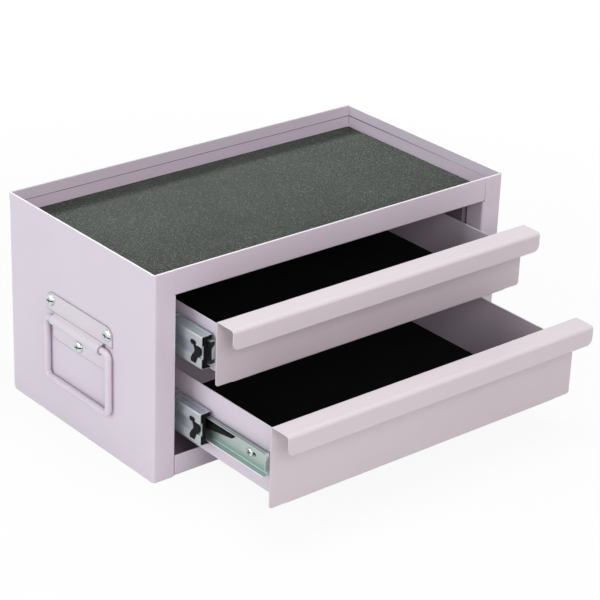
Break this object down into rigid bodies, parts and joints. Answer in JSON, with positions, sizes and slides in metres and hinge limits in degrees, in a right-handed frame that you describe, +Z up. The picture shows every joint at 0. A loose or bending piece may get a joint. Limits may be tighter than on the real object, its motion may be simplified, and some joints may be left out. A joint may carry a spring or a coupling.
{
  "type": "two-drawer tool chest",
  "caption": "Small sheet-steel tool chest with an open matted tray on top, full-width folded drawer pulls, telescopic ball slides and drop handles on the sides.",
  "frame": {"origin": "middle of the cabinet's underside, on the ground", "axes": "+X to the right seen from the front, +Y to the back, +Z up; drawers open along -Y"},
  "size_m": [0.5264, 0.4709, 0.25],
  "materials": {
    "lilac_paint": "pale lilac powder coat, satin, with a very fine orange peel",
    "tray_mat": "dark grey-green matt mat with fine ribs from front to back",
    "drawer_liner": "black matt sheet liner",
    "zinc_slide": "zinc-plated pressed steel, faintly green, semi-bright",
    "ball_steel": "polished bearing steel",
    "black_plastic": "black moulded plastic, satin",
    "zinc_screw": "bright zinc plate"
  },
  "bodies": {
    "cabinet": {"side_panel_left": "lilac_paint", "side_panel_right": "lilac_paint", "back_panel": "lilac_paint", "base_pan": "lilac_paint", "front_rail": "lilac_paint", "tray_pan": "lilac_paint", "tray_mat": "tray_mat", "front_upright_left": "lilac_paint", "front_upright_right": "lilac_paint", "rear_upright_left": "lilac_paint", "rear_upright_right": "lilac_paint", "fixed_slide_top_left": "zinc_slide", "fixed_slide_top_right": "zinc_slide", "fixed_slide_bottom_left": "zinc_slide", "fixed_slide_bottom_right": "zinc_slide", "fixed_slide_screws": "zinc_screw", "handle_plate_left": "lilac_paint", "handle_plate_right": "lilac_paint", "handle_screws_left": "zinc_screw", "handle_screws_right": "zinc_screw", "handle_nuts": "zinc_screw"},
    "left_bail": {"bail_left": "lilac_paint"},
    "right_bail": {"bail_right": "lilac_paint"},
    "top_runners": {"runner_top_left": "zinc_slide", "runner_top_right": "zinc_slide", "retainer_top_left": "black_plastic", "retainer_top_right": "black_plastic"},
    "top_outer_cages": {"outer_cages_top": "zinc_slide", "outer_balls_top": "ball_steel"},
    "top_inner_cages": {"inner_cages_top": "zinc_slide", "inner_balls_top": "ball_steel"},
    "top_drawer": {"drawer_box_top": "lilac_paint", "drawer_back_top": "lilac_paint", "drawer_front_top": "lilac_paint", "drawer_liner_top": "drawer_liner", "drawer_slide_top_left": "zinc_slide", "drawer_slide_top_right": "zinc_slide", "drawer_slide_screws_top": "zinc_screw"},
    "top_left_lever": {"lever_top_left": "black_plastic"},
    "top_right_lever": {"lever_top_right": "black_plastic"},
    "bottom_runners": {"runner_bottom_left": "zinc_slide", "runner_bottom_right": "zinc_slide", "retainer_bottom_left": "black_plastic", "retainer_bottom_right": "black_plastic"},
    "bottom_outer_cages": {"outer_cages_bottom": "zinc_slide", "outer_balls_bottom": "ball_steel"},
    "bottom_inner_cages": {"inner_cages_bottom": "zinc_slide", "inner_balls_bottom": "ball_steel"},
    "bottom_drawer": {"drawer_box_bottom": "lilac_paint", "drawer_back_bottom": "lilac_paint", "drawer_front_bottom": "lilac_paint", "drawer_liner_bottom": "drawer_liner", "drawer_slide_bottom_left": "zinc_slide", "drawer_slide_bottom_right": "zinc_slide", "drawer_slide_screws_bottom": "zinc_screw"},
    "bottom_left_lever": {"lever_bottom_left": "black_plastic"},
    "bottom_right_lever": {"lever_bottom_right": "black_plastic"}
  },
  "joints": [
    {"name": "left_bail_swing", "type": "hinge", "parent": "cabinet", "child": "left_bail", "pos_m": [-0.25735, 0, 0.127], "axis": [0, 1, 0], "range_deg": [0, 95]},
    {"name": "right_bail_swing", "type": "hinge", "parent": "cabinet", "child": "right_bail", "pos_m": [0.25735, 0, 0.127], "axis": [0, -1, 0], "range_deg": [0, 95]},
    {"name": "top_runner_slide", "type": "slide", "parent": "cabinet", "child": "top_runners", "axis": [0, -1, 0], "range_m": [-0.0575, 0.0675]},
    {"name": "top_drawer_slide", "type": "slide", "parent": "top_runners", "child": "top_drawer", "axis": [0, -1, 0], "range_m": [-0.0109, 0.1141]},
    {"name": "top_outer_cage_roll", "type": "slide", "parent": "cabinet", "child": "top_outer_cages", "axis": [0, -1, 0], "range_m": [-0.02875, 0.03375]},
    {"name": "top_inner_cage_roll", "type": "slide", "parent": "top_runners", "child": "top_inner_cages", "axis": [0, -1, 0], "range_m": [-0.00545, 0.05705]},
    {"name": "top_left_lever_press", "type": "hinge", "parent": "top_drawer", "child": "top_left_lever", "pos_m": [-0.20395, -0.0624, 0.1642], "axis": [-1, 0, 0], "range_deg": [-6, 4]},
    {"name": "top_right_lever_press", "type": "hinge", "parent": "top_drawer", "child": "top_right_lever", "pos_m": [0.20395, -0.0624, 0.1622], "axis": [1, 0, 0], "range_deg": [-6, 4]},
    {"name": "bottom_runner_slide", "type": "slide", "parent": "cabinet", "child": "bottom_runners", "axis": [0, -1, 0], "range_m": [-0.0575, 0.0675]},
    {"name": "bottom_drawer_slide", "type": "slide", "parent": "bottom_runners", "child": "bottom_drawer", "axis": [0, -1, 0], "range_m": [-0.1054, 0.0196]},
    {"name": "bottom_outer_cage_roll", "type": "slide", "parent": "cabinet", "child": "bottom_outer_cages", "axis": [0, -1, 0], "range_m": [-0.02875, 0.03375]},
    {"name": "bottom_inner_cage_roll", "type": "slide", "parent": "bottom_runners", "child": "bottom_inner_cages", "axis": [0, -1, 0], "range_m": [-0.0527, 0.0098]},
    {"name": "bottom_left_lever_press", "type": "hinge", "parent": "bottom_drawer", "child": "bottom_left_lever", "pos_m": [-0.20395, -0.1569, 0.07155], "axis": [-1, 0, 0], "range_deg": [-6, 4]},
    {"name": "bottom_right_lever_press", "type": "hinge", "parent": "bottom_drawer", "child": "bottom_right_lever", "pos_m": [0.20395, -0.1569, 0.06955], "axis": [1, 0, 0], "range_deg": [-6, 4]}
  ],
  "couplings": [
    {"joint": "top_outer_cage_roll", "follows": "top_runner_slide", "ratio": 0.5},
    {"joint": "top_inner_cage_roll", "follows": "top_drawer_slide", "ratio": 0.5},
    {"joint": "bottom_outer_cage_roll", "follows": "bottom_runner_slide", "ratio": 0.5},
    {"joint": "bottom_inner_cage_roll", "follows": "bottom_drawer_slide", "ratio": 0.5}
  ]
}
